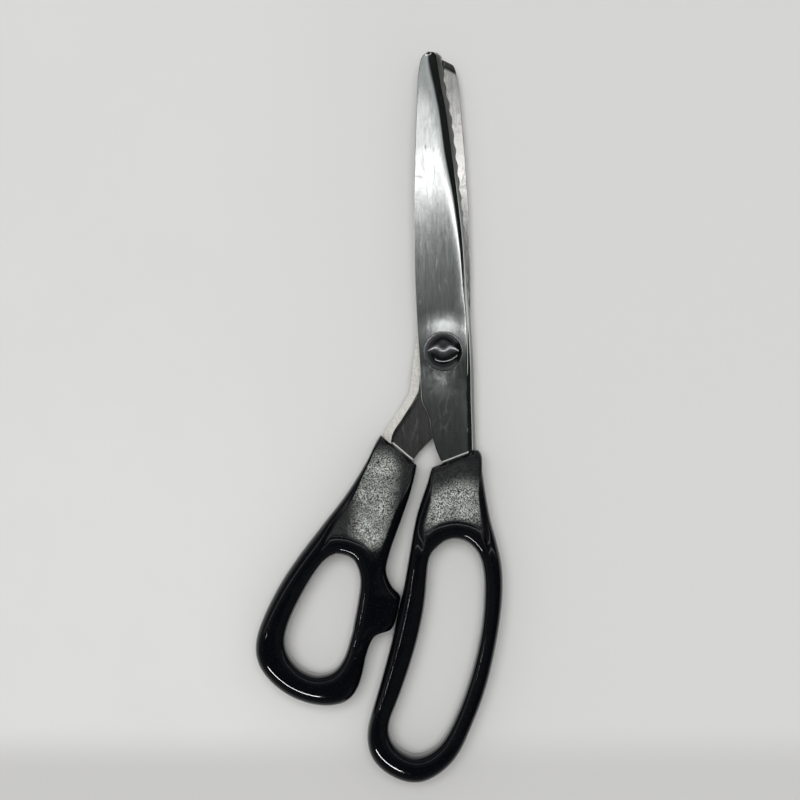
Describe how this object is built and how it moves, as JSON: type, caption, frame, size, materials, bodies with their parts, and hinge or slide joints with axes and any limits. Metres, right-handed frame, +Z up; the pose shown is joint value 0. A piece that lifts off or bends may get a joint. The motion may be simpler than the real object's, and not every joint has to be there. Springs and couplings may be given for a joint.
{
  "type": "fabric shears",
  "caption": "Fabric shears with meshing zigzag teeth on bent steel blades, a domed pivot screw and black moulded handles.",
  "frame": {"origin": "below the middle of the closed shears' box, on the plane that the handles rest on", "axes": "+Y towards the blade tips, +Z up along the pivot, +X towards the finger handle"},
  "size_m": [0.0796, 0.2352, 0.0136],
  "materials": {
    "blade_steel": "polished and ground",
    "polished_steel": "bright polished",
    "spring_steel": "plain",
    "handle_plastic": "gloss with grained neck faces"
  },
  "bodies": {
    "lower_half": {"lower_blade": "blade_steel", "thumb_handle": "handle_plastic", "blade_washer": "spring_steel"},
    "upper_half": {"upper_blade": "blade_steel", "finger_handle": "handle_plastic", "pivot_screw": "polished_steel", "head_washer": "polished_steel", "spring_washer": "spring_steel", "lock_nut": "polished_steel"}
  },
  "joints": [
    {"name": "blade_pivot", "type": "hinge", "parent": "lower_half", "child": "upper_half", "pos_m": [0.02059, 0.0212, 0.0068], "axis": [0, 0, 1], "range_deg": [0, 35]}
  ]
}
